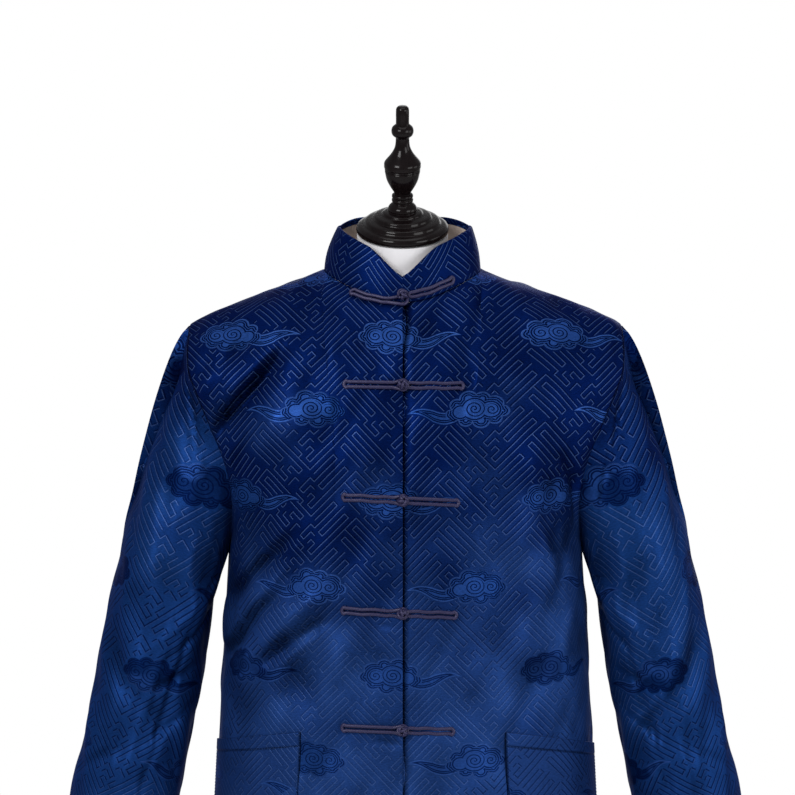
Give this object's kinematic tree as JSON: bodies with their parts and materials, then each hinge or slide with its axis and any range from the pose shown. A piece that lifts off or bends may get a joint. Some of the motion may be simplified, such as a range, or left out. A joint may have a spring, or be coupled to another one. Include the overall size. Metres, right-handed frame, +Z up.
{
  "type": "burial jacket on a dress form",
  "caption": "Blue satin jacquard jacket with a stand collar, knotted cord frogs and patch pockets, hollow and worn by a limbless white dress form on a round stand.",
  "frame": {"origin": "on the floor, at the middle of the underside of the round base", "axes": "+Z up, -Y out of the jacket's front, +X to the wearer's left"},
  "size_m": [0.7416, 0.37, 1.6124],
  "materials": {
    "satin": "glossy blue satin jacquard with a diagonal key fret and clouds",
    "lining": "plain beige lining",
    "frog_cord": "dull slate-blue sewn cord",
    "form_cloth": "smooth white jersey cover",
    "turned_wood": "glossy black lacquered turned wood",
    "stand_paint": "black paint"
  },
  "bodies": {
    "root": {"front_right": "satin", "front_left": "satin", "underlap": "satin", "back": "satin", "sleeve_right": "satin", "sleeve_left": "satin", "collar": "satin", "collar_lining": "lining", "pocket_right": "satin", "pocket_left": "satin", "frog_1_loop": "frog_cord", "frog_1_button": "frog_cord", "frog_1_knot": "frog_cord", "frog_2_loop": "frog_cord", "frog_2_button": "frog_cord", "frog_2_knot": "frog_cord", "frog_3_loop": "frog_cord", "frog_3_button": "frog_cord", "frog_3_knot": "frog_cord", "frog_4_loop": "frog_cord", "frog_4_button": "frog_cord", "frog_4_knot": "frog_cord", "frog_5_loop": "frog_cord", "frog_5_button": "frog_cord", "frog_5_knot": "frog_cord", "form_torso": "form_cloth", "neck_cap": "turned_wood", "stand_pole": "stand_paint", "stand_base": "stand_paint"}
  },
  "joints": []
}
